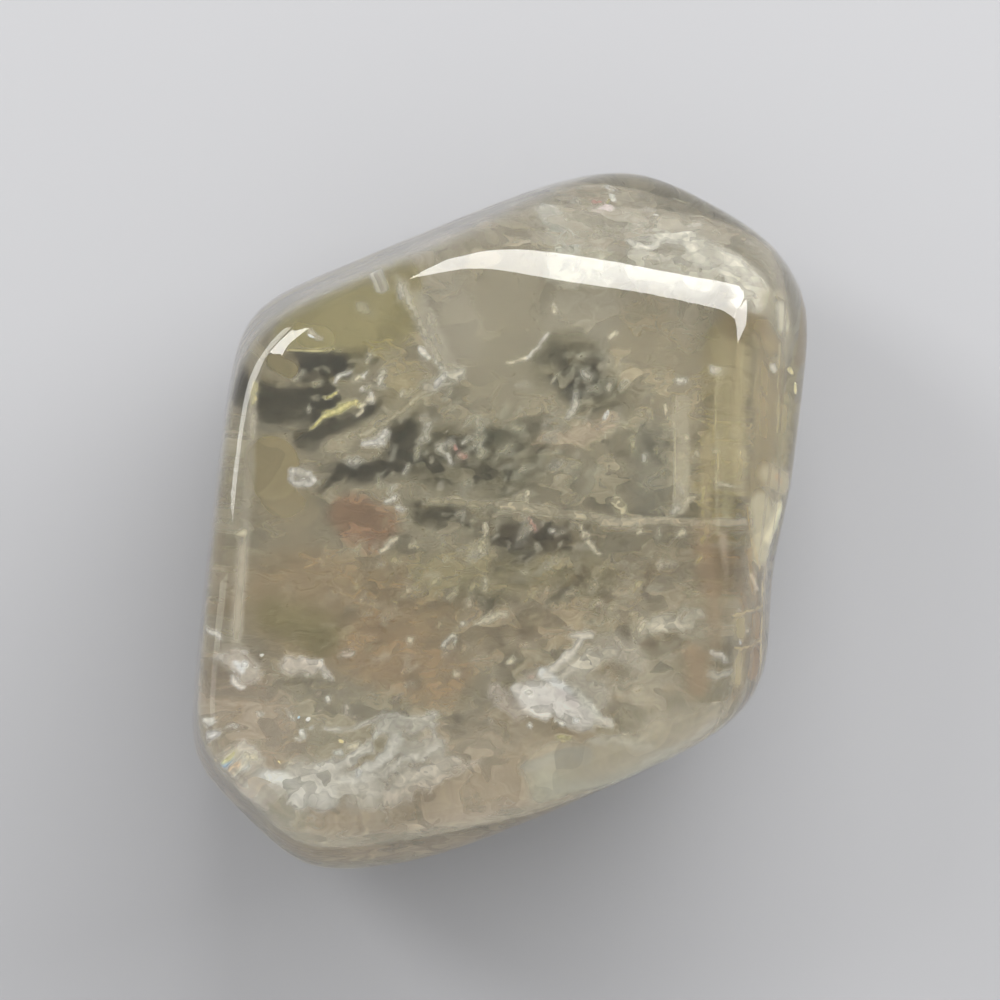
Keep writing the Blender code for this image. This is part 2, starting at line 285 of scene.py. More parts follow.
# The even veils, without lace: bands and windows that show through the slopes and the front face.
SMOOTH_VEILS = {
    # A few strokes in these veils are painted highlights and reflections, marked where they stand.
    "rim_veil": ((6.8, -12.4, 15.9), (14.0, 8.5), (52, 26), 0.2, 0.7, [
        ("pale", "#d6c8a6", 0.68, 0.8, 1.8, [(2.4, -13.2), (6.4, -12.6), (9.4, -11.6), (12.2, -10.2)]),
        ("paler", "#e0d4b4", 0.76, 0.4, 1.4, [(2.0, -14.0), (5.6, -13.7), (9.4, -12.4)]),
        ("streak", "#dcd2b8", 0.65, 0.16, 0.5, [(4.8, -11.9), (7.8, -11.7)]),
        ("streak 2", "#dcd2b8", 0.65, 0.2, 0.5, [(7.6, -12.6), (11.4, -11.0)]),
        ("grey streak", "#a8a898", 0.5, 0.25, 0.4, [(1.2, -13.4), (4.4, -12.5)]),
    ]),
    "right_wall_veil": ((13.9, 0.6, 14.1), (11.0, 25.0), (4, 68), 0.12, 0.25, [
        ("upper haze", "#9c9474", 0.4, 0.8, 0.8, [(14.8, 12.0), (14.9, 9.6)]),
        ("upper spot", "#bab89c", 0.7, 0.3, 0.4, [(15.0, 11.8), (15.2, 10.8)]),
        ("brown spot", "#7b6c4a", 0.7, 0.5, 0.5, [(13.9, 10.6), (14.4, 9.8)]),
        ("brown band", "#85764f", 0.5, 0.5, 0.6, [(14.1, 9.6), (13.9, 4.2), (13.5, 1.8)]),
        ("pale band", "#a29670", 0.4, 0.2, 0.5, [(12.9, 9.4), (12.7, 1.6)]),
        ("pale line", "#b0a47a", 0.5, 0.07, 0.2, [(14.9, 9.8), (14.8, 5.0)]),
        ("olive band", "#958a60", 0.45, 0.4, 0.6, [(15.3, 6.6), (15.2, 3.6)]),
        ("white spot", "#d8d4bc", 0.9, 0.14, 0.2, [(14.5, 8.5), (14.6, 8.3)]),
        # Painted glints: the two yellow spots are light off the rim.
        ("yellow spot", "#e8d688", 1.0, 0.12, 0.16, [(15.6, 8.5), (15.8, 8.3)]),
        ("yellow spot 2", "#e0d08a", 1.0, 0.1, 0.16, [(16.0, 7.6), (16.0, 7.2)]),
        ("above the lens", "#aea27c", 0.6, 0.7, 0.7, [(14.4, 2.6), (15.3, 2.2)]),
        ("red spot", "#8a7050", 0.7, 0.16, 0.2, [(14.9, 2.6), (15.1, 2.3)]),
        ("lens", "#bcb187", 0.62, 0.7, 0.6, [(13.9, 0.9), (14.1, -0.6), (14.0, -1.7)]),
        ("lens's edge", "#8c7a52", 0.5, 0.09, 0.2, [(13.0, 0.9), (13.2, -0.9), (13.9, -2.6)]),
        # Painted reflection: the lens's heart and light are its bright yellow shine.
        ("lens's heart", "#e6d89e", 0.85, 0.32, 0.45, [(15.1, 0.8), (14.9, -0.3), (14.5, -0.9)]),
        ("lens's light", "#fff0b0", 1.0, 0.14, 0.2, [(15.2, 0.6), (15.1, -0.4)]),
        ("under the lens", "#a0906c", 0.5, 0.4, 0.5, [(14.6, -2.6), (14.4, -3.8)]),
        ("light streak", "#d2c6a8", 0.9, 0.09, 0.16, [(13.3, -3.0), (13.7, -3.8)]),
        ("upper pane", "#7c684a", 0.7, 0.36, 0.24, [(13.6, -5.4), (13.65, -6.2)]),
        ("lower pane", "#705c42", 0.8, 0.4, 0.24, [(13.55, -7.3), (13.5, -8.4)]),
        ("yellow pane", "#a3946a", 0.5, 0.26, 0.3, [(12.6, -5.4), (12.6, -6.2)]),
        ("pale pane", "#a3956e", 0.5, 0.2, 0.3, [(12.6, -7.2), (12.55, -8.8)]),
        ("top rail", "#a6966e", 0.8, 0.07, 0.14, [(12.3, -5.1), (14.1, -4.85)]),
        ("middle rail", "#9c8c68", 0.8, 0.07, 0.14, [(12.4, -6.95), (14.0, -6.65)]),
        ("rail", "#a4946e", 0.8, 0.06, 0.14, [(14.1, -3.4), (14.1, -8.8)]),
        ("brown edge", "#84704e", 0.5, 0.2, 0.3, [(13.1, -1.6), (13.5, -4.4)]),
    ]),
    "right_bands": ((11.6, 1.5, 18.4), (4.6, 23.0), (0, 0), 0.05, 0.2, [
        ("light pane", "#aaa286", 0.28, 0.4, 0.2, [(9.9, 6.4), (9.85, 0.8)]),
        ("light pane's edge", "#b8b194", 0.35, 0.05, 0.12, [(9.5, 6.2), (9.45, 0.9)]),
        ("upper pane", "#a0956f", 0.2, 0.7, 0.9, [(12.3, 9.4), (12.3, 2.4)]),
        ("green pane", "#a39c74", 0.3, 0.4, 0.4, [(12.4, 1.2), (12.4, 0.4)]),
        ("dull band", "#857a5c", 0.35, 0.3, 0.5, [(11.2, 4.4), (11.2, -0.6)]),
        ("pale edge", "#b5aa84", 0.35, 0.05, 0.15, [(11.75, 8.2), (11.75, -0.8)]),
        ("dull edge", "#8c7f5e", 0.4, 0.08, 0.25, [(13.0, 8.6), (13.0, 2.6)]),
        ("brown band", "#806c54", 0.3, 0.45, 0.9, [(11.0, -0.6), (11.3, -3.4), (12.0, -7.0)]),
        ("pink band", "#a6927c", 0.35, 0.25, 0.4, [(12.1, -0.9), (12.5, -3.6), (12.9, -5.4)]),
        ("brown edge", "#7e6a4e", 0.45, 0.12, 0.3, [(12.9, -1.2), (13.3, -3.6)]),
        ("brown cell", "#7f6a52", 0.4, 0.6, 0.9, [(10.6, -7.4), (10.8, -9.0)]),
    ]),
    "left_band": ((-14.0, 0.4, 17.9), (4.0, 21.0), (0, 0), 0.05, 0.15, [
        # The rail and its foot are a painted highlight: pale light along the inner crease of the left
        # bevel.
        ("rail", "#a59e89", 0.36, 0.24, 0.4,
         [(-13.3, 8.2), (-13.6, 2.6), (-14.0, -2.8), (-14.3, -6.4)]),
        ("rail's foot", "#a09682", 0.15, 0.3, 0.5, [(-14.0, -1.6), (-14.3, -5.8)]),
        ("cream spot", "#c8be96", 0.5, 0.12, 0.3, [(-14.2, -0.8), (-13.9, -0.7)]),
        ("haze", "#9d9884", 0.25, 0.5, 0.6, [(-14.0, 7.8), (-14.9, -0.4)]),
    ]),
    "olive_windows": ((-9.0, 6.2, 16.7), (10.5, 17.0), (0, 0), 0.05, 0.15, [
        ("dome", "#7f7452", 0.36, 1.35, 0.16, [(-12.3, 3.3), (-12.3, 2.4)]),
        ("dome, lower", "#7f7452", 0.3, 1.35, 0.3, [(-12.3, 3.3), (-11.8, 1.5)]),
        ("dome's foot", "#80745a", 0.26, 1.35, 0.5, [(-12.2, 3.1), (-11.3, 0.7)]),
        ("below the dome", "#827760", 0.2, 1.0, 1.6, [(-12.6, 0.6), (-11.0, -0.2)]),
        # The zone and its edges are a painted reflection off the rear upper-left facet, in the stone's
        # olive tint.
        ("zone", "#8a835e", 0.3, 0.7, 2.0, [(-11.2, 11.3), (-8.6, 11.3), (-6.8, 11.6)]),
        ("zone's edge", "#837c58", 0.34, 0.62, 0.16, [(-11.3, 9.9), (-9.6, 9.85)]),
        ("zone's edge, right", "#837c58", 0.34, 0.6, 0.6, [(-10.4, 9.9), (-7.4, 10.2)]),
        # Painted highlight: a bright line along that facet's crease.
        ("bright rim, painted highlight", "#aaa278", 0.9, 0.035, 0.08, [(-11.5, 9.25), (-10.6, 9.15), (-9.0, 9.3)]),
        ("brown pane", "#676048", 0.8, 0.46, 0.16, [(-12.0, 8.55), (-11.4, 8.2)]),
    ]),
}
VEIL_CELL = 0.11  # mm between the corners of a veil's mesh

# Bright, yellow, blue, orange and bluewhite chips are painted glints: light and rainbow off crack faces.
CHIP_COLOURS = {
    "white": "#dcdad2", "bright": "#ffffff", "grey": "#bdbbae", "cream": "#d2c8aa",
    "yellow": "#dccf84", "blue": "#7fa6e8", "bluewhite": "#dfe9ff", "orange": "#e8a070",
    "rose": "#b98a80",
}
# Chips, by colour and by the height of their sheet: place, length, width, and turn in degrees
# from +X towards +Y.
CHIPS = {
    "white": {
        17: [(-10.7, 2.0, 1.2, 0.42, 4), (-11.25, 2.35, 0.7, 0.4, 65), (-10.1, 2.3, 0.6, 0.34, -55),
             (-6.89, 4.08, 1.21, 0.38, 8), (-6.4, 4.57, 0.88, 0.38, 55), (1.75, -9.43, 0.44, 0.44, 0),
             (3.27, -11.05, 0.55, 0.22, -40), (1.58, -11.01, 0.33, 0.22, -60)],
        16: [(-8.93, 11.33, 0.38, 0.16, 20), (-6.34, 12.43, 0.6, 0.44, -70),
             (-7.27, 8.02, 0.49, 0.27, 60), (-8.46, 8.01, 0.77, 0.22, 10), (-8.78, 7.74, 0.44, 0.27, 70),
             (-7, 6.82, 0.66, 0.27, 80), (-7.38, 7.25, 0.38, 0.22, 60), (-3.61, 7.36, 0.82, 0.44, 20),
             (-3.23, 7.69, 0.66, 0.38, 40), (-4.16, 9.1, 0.66, 0.27, -60), (-2.74, 3.37, 0.6, 0.16, -65),
             (-5.91, 1.12, 0.82, 0.38, 40), (-5.37, 0.58, 0.55, 0.38, -10),
             (-14.01, -7.39, 0.55, 0.38, 0), (-14.08, -8.76, 0.38, 0.38, 0),
             (-14.81, -6.34, 0.82, 0.27, -60), (-14.73, -7.67, 0.49, 0.38, -60),
             (-11.03, -7.86, 0.82, 0.27, 45), (-9.73, -7.81, 0.33, 0.27, 0),
             (-9.52, -8.63, 0.49, 0.27, -60), (-9.41, -9.73, 0.38, 0.27, -60),
             (-14.29, -11.21, 0.44, 0.16, -10), (-15.12, -11.06, 0.49, 0.33, -40),
             (-10.82, -11.7, 0.44, 0.38, 45), (-10.39, -11.31, 0.27, 0.27, 45),
             (-13.79, -13.01, 0.44, 0.38, 40), (-13.64, -13.28, 0.38, 0.22, -60),
             (-14.89, -13.59, 0.27, 0.16, 0), (-8.76, -12.63, 0.55, 0.38, 10),
             (-9.69, -13.92, 0.44, 0.27, -50), (-6.69, -11.48, 0.77, 0.33, 40),
             (11.18, -7.31, 0.77, 0.27, -60), (11.75, 8.15, 0.49, 0.44, 0), (9.96, 1.84, 0.49, 0.27, -50),
             (1.47, 9.2, 0.55, 0.33, 40)],
        15: [(10.71, -10.41, 0.22, 0.22, 0)],
        12: [(2.25, 14.79, 0.38, 0.33, 0), (7.61, 15.63, 1.32, 0.22, -15), (8.4, 14.81, 1.43, 0.22, 15),
             (7.13, 15.03, 0.66, 0.22, 40), (9.22, 15.52, 0.55, 0.44, 40), (10.05, 15.5, 0.55, 0.33, 50),
             (11.98, 11.97, 0.38, 0.27, 60)],
    },
    "grey": {
        17: [(-10.7, 2.45, 0.8, 0.5, 0)],
        16: [(-6.73, 4.35, 1.1, 0.66, 40), (-6.05, 12.53, 0.55, 0.44, -70),
             (-5.34, 12.2, 0.77, 0.38, -75), (-7.29, 11.39, 0.77, 0.71, 0), (-6.4, 7.69, 0.55, 0.33, 70),
             (-3.4, 8.45, 0.77, 0.27, -55), (4.06, 6.33, 1.21, 0.44, 80), (3.78, 5.67, 0.66, 0.49, 75),
             (-3.07, 3.75, 0.55, 0.16, -55), (-7.99, 3.2, 0.66, 0.55, 0), (4.6, 7.9, 0.49, 0.44, 0),
             (2.85, -0.52, 0.33, 0.33, 0), (-13.48, -8.2, 0.49, 0.38, 60),
             (-11.45, -8.08, 0.55, 0.49, 40), (-10.49, -8.52, 0.44, 0.38, -30),
             (-13.03, -10.61, 0.38, 0.27, 0), (-11.47, -10.77, 0.55, 0.22, -40),
             (-11.09, -12.03, 0.49, 0.27, 10), (-4.99, -13, 0.55, 0.27, -10),
             (-2.47, -6.5, 0.55, 0.22, -60), (-2.9, -6.6, 0.77, 0.33, 50), (-1.81, -5.67, 0.44, 0.38, 20),
             (-3.62, -10.44, 0.55, 0.22, 10), (7.84, 3.37, 0.44, 0.27, 85), (9.85, 7.51, 0.66, 0.44, 0),
             (11.75, 1.98, 0.77, 0.16, -40), (11.86, 1.9, 0.66, 0.16, 0), (9.75, 0.69, 0.77, 0.55, 60),
             (2.18, 9.83, 1.21, 0.27, 40)],
        15: [(-10.3, -15.61, 0.55, 0.22, 0), (11.03, -8.05, 0.88, 0.33, 30)],
        12: [(14.79, 10.65, 1.43, 0.33, 85), (2.73, 15.73, 0.88, 0.55, -55),
             (3.4, 14.56, 0.77, 0.55, -60), (4.13, 16.74, 0.55, 0.44, 40), (6.01, 18.28, 0.88, 0.27, -60),
             (9.36, 15.04, 0.77, 0.33, -10), (10.31, 14.01, 0.88, 0.55, -50),
             (10.81, 13.09, 0.99, 0.44, -55), (9.49, 13.17, 0.88, 0.27, -60),
             (12.4, 12.91, 1.1, 0.44, -50), (12.9, 12.25, 0.88, 0.55, -50),
             (13.47, 13.92, 1.1, 0.44, -50), (13.7, 13.43, 1.32, 0.33, -50),
             (11.91, 11.59, 0.55, 0.44, -40), (7.49, 13.37, 0.66, 0.33, -60)],
    },
    "cream": {
        17: [(-10.17, 9.91, 0.49, 0.27, -30), (-9.87, 9.77, 0.27, 0.16, 0),
             (-0.33, -11.02, 0.27, 0.16, 60)],
        16: [(-7.71, 7.75, 0.44, 0.38, 20), (-6.08, -1.12, 0.93, 0.33, 35),
             (-6.52, -1.51, 0.44, 0.27, 40), (1.37, 1.29, 0.77, 0.27, 75), (4.66, -0.58, 0.77, 0.22, -50),
             (5.15, -1.51, 0.99, 0.27, -45), (-0.93, -0.41, 0.77, 0.22, 80),
             (-1.15, -1.62, 0.38, 0.22, -50), (4.55, -0.79, 0.44, 0.22, -60),
             (-13.43, -12.83, 0.66, 0.38, -30), (-13.69, -13.18, 0.38, 0.27, 60),
             (-11.2, -13.38, 0.77, 0.33, -15), (-8, -12.19, 0.77, 0.33, 20),
             (7.94, -5.89, 0.66, 0.33, 55), (0.49, -7.59, 0.55, 0.33, 45), (-0.66, -5.51, 0.99, 0.27, 30),
             (0, -5.23, 0.77, 0.33, 20), (-2.41, -8.47, 0.44, 0.44, 0), (-4.93, -6.5, 0.44, 0.44, -30),
             (10.7, 3.54, 0.49, 0.44, 60), (10.18, 4.57, 0.44, 0.44, -60), (9.15, 5.94, 0.77, 0.22, -75),
             (11.59, 3.82, 0.33, 0.33, -40), (10.38, 1.24, 0.66, 0.33, 50), (7.57, -0.69, 0.49, 0.27, 10),
             (9.85, -0.68, 0.55, 0.49, 0), (-7.32, 6.48, 0.99, 0.27, 45), (-7.71, 5.83, 0.55, 0.27, 40),
             (-13.11, 5.01, 1.54, 0.16, 88), (2.98, 11.36, 0.44, 0.22, -60),
             (6.12, 10.16, 0.55, 0.27, 30), (0.93, 8.93, 0.99, 0.27, 30)],
        15: [(-6.42, -15.1, 0.49, 0.33, 0), (-5.77, -15.07, 0.33, 0.27, 60),
             (-5.32, -14.93, 0.49, 0.16, 30), (-7.14, -15.27, 0.38, 0.38, 60),
             (6.68, -11.21, 0.99, 0.16, 10), (5.45, -11.56, 0.55, 0.33, -10),
             (-1.78, -13.39, 0.44, 0.22, 20), (-1.01, -13.02, 0.66, 0.16, 25)],
        12: [(13.48, 8.53, 0.38, 0.27, 60), (14.51, 12.25, 0.77, 0.49, 60), (13.59, 10.24, 1.1, 0.16, 88)],
        10: [(10.67, -3.09, 0.55, 0.22, -60)],
        13: [(11.34, -4.92, 0.77, 0.16, 15), (13.36, -5.29, 1.43, 0.16, 86),
             (11.44, -6.89, 0.99, 0.16, 20), (14.73, -8.09, 1.43, 0.16, 85),
             (10.7, -7.87, 0.66, 0.27, 80)],
    },
    "bright": {
        16: [(5.86, 5.94, 0.44, 0.27, 75), (-14.78, -11.65, 0.38, 0.38, 0),
             (-10.88, -11.64, 0.27, 0.22, 45), (-7.84, -13.71, 0.44, 0.38, 30)],
        17: [(-13.88, -7.93, 0.44, 0.44, 0)],
        12: [(14.04, -0.58, 0.77, 0.49, 75)],
    },
    "rose": {
        16: [(-2.03, 3.48, 0.49, 0.38, -45), (-2.41, 3.97, 0.44, 0.22, -60),
             (1.81, -0.08, 0.88, 0.22, -55), (1.64, -8.62, 0.38, 0.33, 30)],
        12: [(5.32, 16.91, 0.66, 0.33, 10)],
    },
    "blue": {
        16: [(-14.16, -12.74, 0.33, 0.22, -40)],
    },
    "orange": {
        16: [(-13.89, -13.02, 0.33, 0.27, -50)],
    },
    "yellow": {
        16: [(-14.09, -12.54, 0.38, 0.27, 20), (3.36, -11.77, 0.71, 0.27, 10),
             (-10.01, 5.28, 1.1, 0.22, 42), (-9.21, 5.83, 1.1, 0.44, 20), (-8.25, 6.27, 1.21, 0.49, 15),
             (-9.1, 6.81, 0.88, 0.22, 22), (-12.85, 7.17, 0.71, 0.33, 88), (-12.97, 6.42, 0.77, 0.22, 88)],
        15: [(11.03, 1.3, 0.82, 0.22, 88), (11.02, 0.2, 0.55, 0.14, 88), (10.96, -0.9, 1.04, 0.16, 85),
             (10.76, -2.11, 0.38, 0.19, 85)],
        12: [(16.05, 8.44, 0.49, 0.27, 0), (17.54, 7.63, 0.44, 0.22, 75), (15.01, 11.72, 0.27, 0.27, 0),
             (6.04, 17.07, 0.49, 0.16, 70)],
    },
    "bluewhite": {
        17: [(4.25, -10.92, 0.38, 0.33, 0)],
    },
}

# How a chip is painted: density, longer than it measures by, softness as a share of its width
# and at least, and how far its sheet lies below its level, swells and is ragged (mm).
CHIP_DENSITY = 0.64
CHIP_STRETCH = 1.15
CHIP_SOFTNESS = 0.8
CHIP_LEAST_SOFTNESS = 0.2
FLAKE_DROP = 0.15
FLAKE_SWELL = 0.2
FLAKE_EDGE = 0.55

# A dab's half width as a share of its width, and its shortest run (mm).
DAB_HALF_WIDTH = 0.36
DAB_SHORTEST_RUN = 0.02

# Painted glints: matt plates whose colours stand in for light and rainbow off crack faces.
# Glints: colour, then place, length, width and turn of each.
GLINTS = {
    "white": ("#ffffff", [
        (5.9, 5.9, 16.6, 0.32, 0.22, 80), (-12.9, -7.4, 15.9, 0.3, 0.2, 10),
        (-14.1, -7.7, 15.6, 0.34, 0.24, 60), (-14.2, -8.3, 15.6, 0.24, 0.2, 0),
        (-10.2, 9.95, 16.95, 0.3, 0.16, -20), (-10.5, -10.9, 16.2, 0.3, 0.24, 30),
        (-14.0, -11.6, 15.2, 0.3, 0.22, 0), (-13.0, -12.7, 15.2, 0.36, 0.24, 40),
        (4.2, -10.9, 16.6, 0.22, 0.2, 0), (12.4, -6.6, 15.6, 0.4, 0.26, -50),
        (8.5, 16.3, 12.4, 0.4, 0.2, -20), (-11.0, 2.6, 16.8, 0.3, 0.2, 40),
    ]),
    "blue": ("#9fc4ff", [
        (-14.0, -7.95, 15.7, 0.26, 0.2, 0), (-14.35, -12.75, 14.8, 0.3, 0.16, -40),
        (-13.9, -12.9, 14.9, 0.2, 0.14, 20), (-11.0, -10.8, 16.0, 0.2, 0.14, 50),
    ]),
    "amber": ("#ffcf8a", [
        (-14.1, -13.2, 14.6, 0.26, 0.2, -40), (-14.3, -12.3, 14.9, 0.24, 0.18, 20),
        (-11.9, -13.2, 15.4, 0.4, 0.22, -10), (-8.7, -12.1, 15.6, 0.36, 0.24, -20),
        (3.4, -11.9, 15.6, 0.26, 0.2, 0),
    ]),
}

# The one shard that all glints are copies of: how uneven and how flat it is, how far a copy
# leans (degrees), and how uneven it is made again.
SHARD_UNEVEN = (0.6, 1.2)
SHARD_FLATNESS = 0.2
GLINT_LEAN = (-30, 30)
GLINT_UNEVEN = (0.8, 1.2)

# Zones strewn with short strokes: middle, spread, count, colours, density, length, turn.
HOLLOWS = [
    ((-3.4, 4.0), (2.2, 1.2), 26, ("#5f5e52", "#6a6a5c"), (0.15, 0.6), (0.4, 1.3), 25),
    ((1.6, 3.2), (2.4, 1.4), 26, ("#66665a", "#5c6258"), (0.3, 0.7), (0.4, 1.1), 30),
    ((4.6, 7.6), (1.1, 1.0), 34, ("#5c5c50", "#666458"), (0.1, 0.5), (0.35, 1.1), 50),
    ((1.6, -1.0), (2.8, 0.6), 24, ("#5c5a4e", "#605c58"), (0.2, 0.6), (0.4, 1.4), 20),
    ((0.8, -3.4), (4.6, 1.4), 36, ("#6e6a56", "#68685a"), (0.45, 0.8), (0.4, 1.4), 30),
    ((-9.6, 6.6), (1.6, 1.2), 10, ("#5c5c50",), (0.1, 0.5), (0.5, 1.4), 15),
    ((-4.0, -8.0), (6.0, 2.6), 34, ("#7c6c58", "#76705c"), (0.6, 0.9), (0.5, 1.6), 30),
    ((7.0, -4.6), (2.6, 2.4), 24, ("#80745e",), (0.6, 0.9), (0.5, 1.4), 40),
]
STREWN_TURN = 25  # degrees that the strokes stray from their zone's turn
STREWN_WIDTH = (0.2, 0.5)  # a stroke's width as a share of its length
STREWN_SOFTNESS = 0.55  # its softness as a share of its length

# Flecks, on the flakes' sheets: the level of the sheet, and the zone.
FLECKS = [
    (16, ((4.4, 7.8), (1.3, 1.1), 34, ("#9a9886", "#a6a492", "#94927e"), (0.2, 0.5), (0.3, 0.9), 50)),
    (16, ((-3.6, 4.2), (2.4, 1.5), 46, ("#aaa890", "#b4b2a2", "#c4c2b4"), (0.25, 0.66), (0.25, 0.9), 40)),
    (16, ((2.2, 3.4), (3.4, 1.9), 60, ("#a8a68e", "#b0ae98", "#98968a"), (0.2, 0.5), (0.3, 1.0), 30)),
    (16, ((0.4, -1.2), (3.6, 0.9), 46, ("#b0a888", "#a09c88", "#c0bca8"), (0.25, 0.66), (0.25, 0.9), 45)),
    (15, ((0.6, -3.8), (5.4, 1.6), 90, ("#aaa27e", "#a69a7c", "#b4ac94"), (0.2, 0.5), (0.3, 1.1), 32)),
    (15, ((1.0, -7.0), (5.4, 1.8), 80, ("#b09e84", "#b4a48c", "#c0b29c"), (0.2, 0.5), (0.3, 1.1), 34)),
    (15, ((-8.6, -4.0), (3.0, 1.6), 36, ("#a09274", "#a89a80"), (0.2, 0.5), (0.3, 1.0), 40)),
    (15, ((-10.0, -11.4), (3.2, 2.4), 70, ("#b8aea0", "#c4bcb0", "#a69c92"), (0.2, 0.6), (0.2, 0.8), 25)),
    (15, ((7.6, -6.6), (2.8, 2.2), 50, ("#b2a68e", "#bab2a0"), (0.2, 0.5), (0.3, 1.0), 45)),
    (14, ((9.4, 4.4), (1.7, 3.2), 50, ("#b2aa90", "#bab496"), (0.2, 0.5), (0.3, 1.0), 80)),
    (12, ((7.4, 15.0), (3.6, 1.2), 60, ("#b8b6a4", "#c2c0b0", "#aaa88e"), (0.25, 0.6), (0.3, 1.0), -35)),
    (15, ((-9.0, 7.6), (1.8, 1.0), 16, ("#b2ac92", "#c2c0ae"), (0.25, 0.66), (0.2, 0.8), 25)),
]

# Softboxes: place and aim (metres), width, height and watts.
FRONT_AIM = (0.004, 0.012, 0.016)
LEFT_AIM = (-0.014, 0.0, 0.012)
SOFTBOXES = {
    "key softbox": ((0.15, 0.42, 0.19), FRONT_AIM, 0.49, 0.27, 4.3),
    "right end of the key": ((0.46, 0.24, 0.19), FRONT_AIM, 0.24, 0.27, 2.1),
    "side softbox": ((-0.36, 0.170, 0.07), LEFT_AIM, 0.275, 0.13, 0.62),
    "side softbox, dim end": ((-0.38, -0.018, 0.07), LEFT_AIM, 0.10, 0.13, 0.05),
    "corner softbox": ((-0.28, 0.20, 0.25), (-0.012, 0.01, 0.016), 0.11, 0.20, 0.8),
}
ROOM_BRIGHTNESS = 0.75
FLOOR_SIZE = 1.6
FLOOR_GAP = 0.1 * MM  # between the stone's back and the floor

# The camera: focal length and sensor (mm), and where it stands over the middle of the stone.
FOCAL_LENGTH = 192.2
SENSOR_WIDTH = 36
CAMERA_RISE = 0.3
CAMERA_SHIFT = 1.12 * MM  # towards the stone's top


def srgb(hex_colour):
    """A hex colour as linear red, green, blue and alpha."""
    parts = [int(hex_colour[i:i + 2], 16) / 255 for i in (1, 3, 5)]
    linear = [p / 12.92 if p <= 0.04045 else ((p + 0.055) / 1.055) ** 2.4 for p in parts]
    return (*linear, 1.0)


def add_node(tree, kind, links=None, **settings):
    """Adds a node with its settings, its socket values and the links into it."""
    node = tree.nodes.new(kind)
    for name, value in settings.items():
        setattr(node, name, value)
    for socket, value in (links or {}).items():
        if isinstance(value, bpy.types.NodeSocket):
            tree.links.new(value, node.inputs[socket])
        else:
            node.inputs[socket].default_value = value
    return node


def new_material(name):
    """An empty material, and its node tree."""
    material = bpy.data.materials.new(name)
    material.use_nodes = True
    material.node_tree.nodes.clear()
    return material, material.node_tree


def deselect():
    """Nothing selected, and edit mode set to pick faces."""
    bpy.context.tool_settings.mesh_select_mode = (False, False, True)
    for item in bpy.context.selected_objects:
        item.select_set(False)


def make_active(item):
    deselect()
    item.select_set(True)
    bpy.context.view_layer.objects.active = item


def apply_modifiers(item):
    make_active(item)
    for modifier in list(item.modifiers):
        bpy.ops.object.modifier_apply(modifier=modifier.name)


def finish_piece(piece, name, material):
    """Gives a piece its name, its material and its ride on the stone's one body."""
    piece.name = name
    piece.data.name = name
    piece.data.materials.clear()
    piece.data.materials.append(material)
    piece.data.shade_smooth()
    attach(piece, "root")
    piece.visible_shadow = name == SKIN_NAME  # its shadow hides those of all that is inside it
    return piece


# ---------------------------------------------------------------- materials


def polished_quartz():
    """Prasiolite, tumble polished: clear, very smooth, faintly green and grey with depth."""
    material, tree = new_material("prasiolite quartz, tumble polished")
    skin = add_node(tree, "ShaderNodeBsdfPrincipled", {
        "Base Color": (1, 1, 1, 1), "Roughness": 0.0, "IOR": QUARTZ_IOR, "Transmission Weight": 1.0})
    tint = [1 + math.log(share) / (THICKNESS * ABSORPTION_DENSITY) for share in CLEARNESS]
    depth = add_node(tree, "ShaderNodeVolumeAbsorption", {
        "Color": (*tint, 1), "Density": ABSORPTION_DENSITY})
    add_node(tree, "ShaderNodeOutputMaterial", {
        "Surface": skin.outputs[0], "Volume": depth.outputs[0]})
    return material


def ragged_patches(tree, patch, streak, turn):
    """Swings from -1 to 1 in patches of that size (mm), drawn out by streak along their turn."""
    place = add_node(tree, "ShaderNodeTexCoord")
    turned = add_node(tree, "ShaderNodeMapping", {
        "Vector": place.outputs["Object"], "Rotation": (0, 0, math.radians(-turn)),
        "Scale": (1 / streak, 1, 1)})
    drift = add_node(tree, "ShaderNodeTexNoise", {
        "Vector": turned.outputs[0], "Scale": 1 / (DRIFT_WAVE * patch * MM), "Detail": 0.0},
        noise_dimensions="2D")
    centred = add_node(tree, "ShaderNodeVectorMath", {
        0: drift.outputs["Color"], 1: (0.5, 0.5, 0.5)}, operation="SUBTRACT")
    bent = add_node(tree, "ShaderNodeVectorMath", {
        0: centred.outputs["Vector"], 1: (DRIFT_PUSH * patch * MM,) * 3, 2: turned.outputs[0]},
        operation="MULTIPLY_ADD")
    # Half of the swing is one value for each patch, and half is finer grain within it.
    large = add_node(tree, "ShaderNodeTexVoronoi", {
        "Vector": bent.outputs["Vector"], "Scale": 1 / (patch * MM)},
        voronoi_dimensions="2D", feature="F1")
    small = add_node(tree, "ShaderNodeTexNoise", {
        "Vector": bent.outputs["Vector"], "Scale": GRAINS_TO_PATCH / (patch * MM), "Detail": 3.0,
        "Roughness": 0.6}, noise_dimensions="2D")
    blend = add_node(tree, "ShaderNodeMix", {
        "Factor": 0.5, "A": large.outputs["Color"], "B": small.outputs["Fac"]}, data_type="FLOAT")
    swing = add_node(tree, "ShaderNodeMapRange", {
        "Value": blend.outputs[0], "From Min": BLEND_REACH[0], "From Max": BLEND_REACH[1],
        "To Min": -1, "To Max": 1})
    return swing.outputs["Result"]


